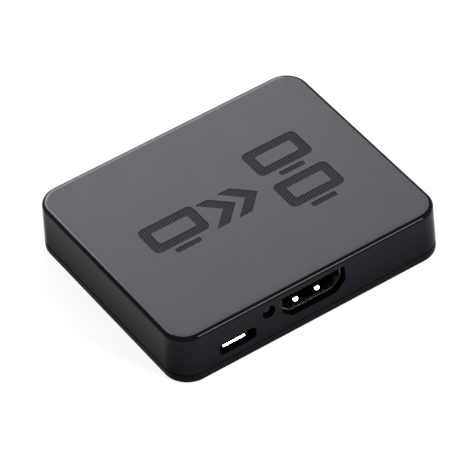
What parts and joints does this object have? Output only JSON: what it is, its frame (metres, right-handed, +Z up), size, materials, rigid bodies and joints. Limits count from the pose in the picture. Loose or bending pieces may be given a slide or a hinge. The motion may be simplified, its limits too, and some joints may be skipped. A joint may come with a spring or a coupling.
{
  "type": "video signal splitter",
  "caption": "Flat two-part moulded box that copies a video signal from a socket on one side to sockets on the opposite side, with a small power socket and an indicator.",
  "frame": {"origin": "middle of the underside", "axes": "+X along the input side, to the right as seen from in front of it; +Y from the input side to the output side; +Z up"},
  "size_m": [0.065, 0.054, 0.0122],
  "materials": {
    "cover_plastic": "satin roof, glossy side walls",
    "base_plastic": "gloss moulded",
    "screw_steel": "zinc plated",
    "board_laminate": "black solder mask",
    "socket_metal": "nickel plated sheet",
    "insulator_plastic": "moulded black",
    "contact_metal": "thin gold plating",
    "lens_resin": "clear tinted resin",
    "tinned_leads": "matte tin",
    "chip_resin": "moulded black",
    "can_metal": "drawn can",
    "ceramic_body": "fired",
    "resistor_body": "glazed black",
    "fuse_body": "fired"
  },
  "bodies": {
    "root": {"top_cover": "cover_plastic", "base_plate": "base_plastic", "case_screws": "screw_steel", "circuit_board": "board_laminate", "power_shell": "socket_metal", "power_insulator": "insulator_plastic", "power_contacts": "contact_metal", "indicator_lens": "lens_resin", "indicator_leads": "tinned_leads", "splitter_chip": "chip_resin", "splitter_chip_leads": "tinned_leads", "memory_chip": "chip_resin", "memory_chip_leads": "tinned_leads", "regulators": "chip_resin", "regulator_leads": "tinned_leads", "surge_arrays": "chip_resin", "surge_array_leads": "tinned_leads", "crystal_can": "can_metal", "crystal_base": "can_metal", "electrolytic_cans": "can_metal", "electrolytic_bases": "insulator_plastic", "ceramic_capacitors": "ceramic_body", "ceramic_ends": "tinned_leads", "chip_resistors": "resistor_body", "resistor_ends": "tinned_leads", "input_fuse": "fuse_body", "fuse_ends": "tinned_leads", "input_shell": "socket_metal", "input_insulator": "insulator_plastic", "input_contacts": "contact_metal", "output_1_shell": "socket_metal", "output_1_insulator": "insulator_plastic", "output_1_contacts": "contact_metal", "output_2_shell": "socket_metal", "output_2_insulator": "insulator_plastic", "output_2_contacts": "contact_metal"}
  },
  "joints": []
}
